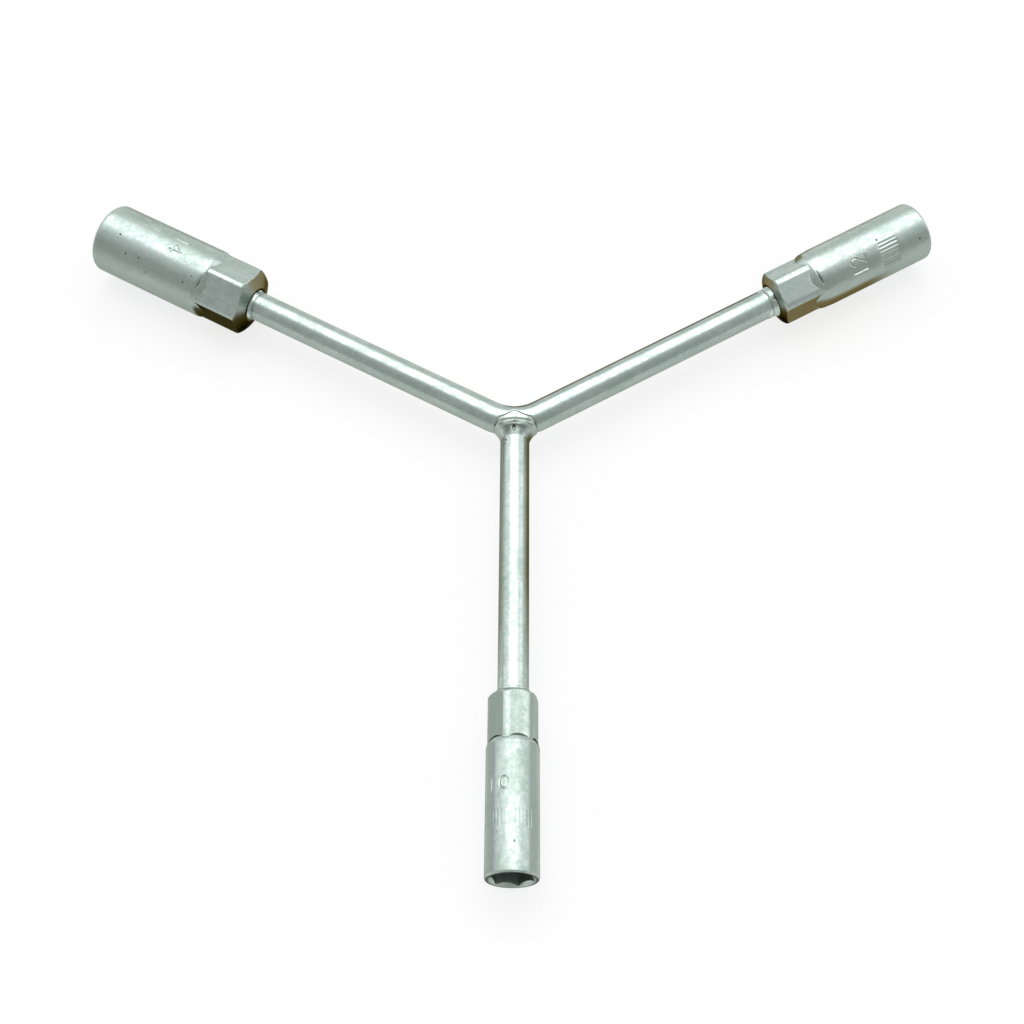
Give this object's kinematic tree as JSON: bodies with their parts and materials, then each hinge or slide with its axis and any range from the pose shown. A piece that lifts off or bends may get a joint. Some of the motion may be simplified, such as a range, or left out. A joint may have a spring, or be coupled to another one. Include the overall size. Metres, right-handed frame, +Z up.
{
  "type": "three-way socket wrench",
  "caption": "Y-shaped three-way wrench: a bent round bar and a welded stem, each arm ending in a deep box socket with a hexagonal shank.",
  "frame": {"origin": "middle of the bounding box, on the plane that the wrench lies on", "axes": "+Z up, square to the plane of the three arms; +X along the long way, from the 14 mm socket's side to the 12 mm socket's side; the stem with the 10 mm socket points along -Y"},
  "size_m": [0.2566, 0.2144, 0.0215],
  "materials": {
    "plated_bar": "satin nickel-like plate over drawn bar",
    "satin_socket": "matte satin plate over turned and forged steel",
    "weld": "satin plate over weld metal"
  },
  "bodies": {
    "root": {"arm_bar": "plated_bar", "stem_bar": "plated_bar", "hub_weld": "weld", "socket_14mm": "satin_socket", "socket_12mm": "satin_socket", "socket_10mm": "satin_socket", "neck_weld_14mm": "weld", "neck_weld_12mm": "weld", "neck_weld_10mm": "weld"}
  },
  "joints": []
}
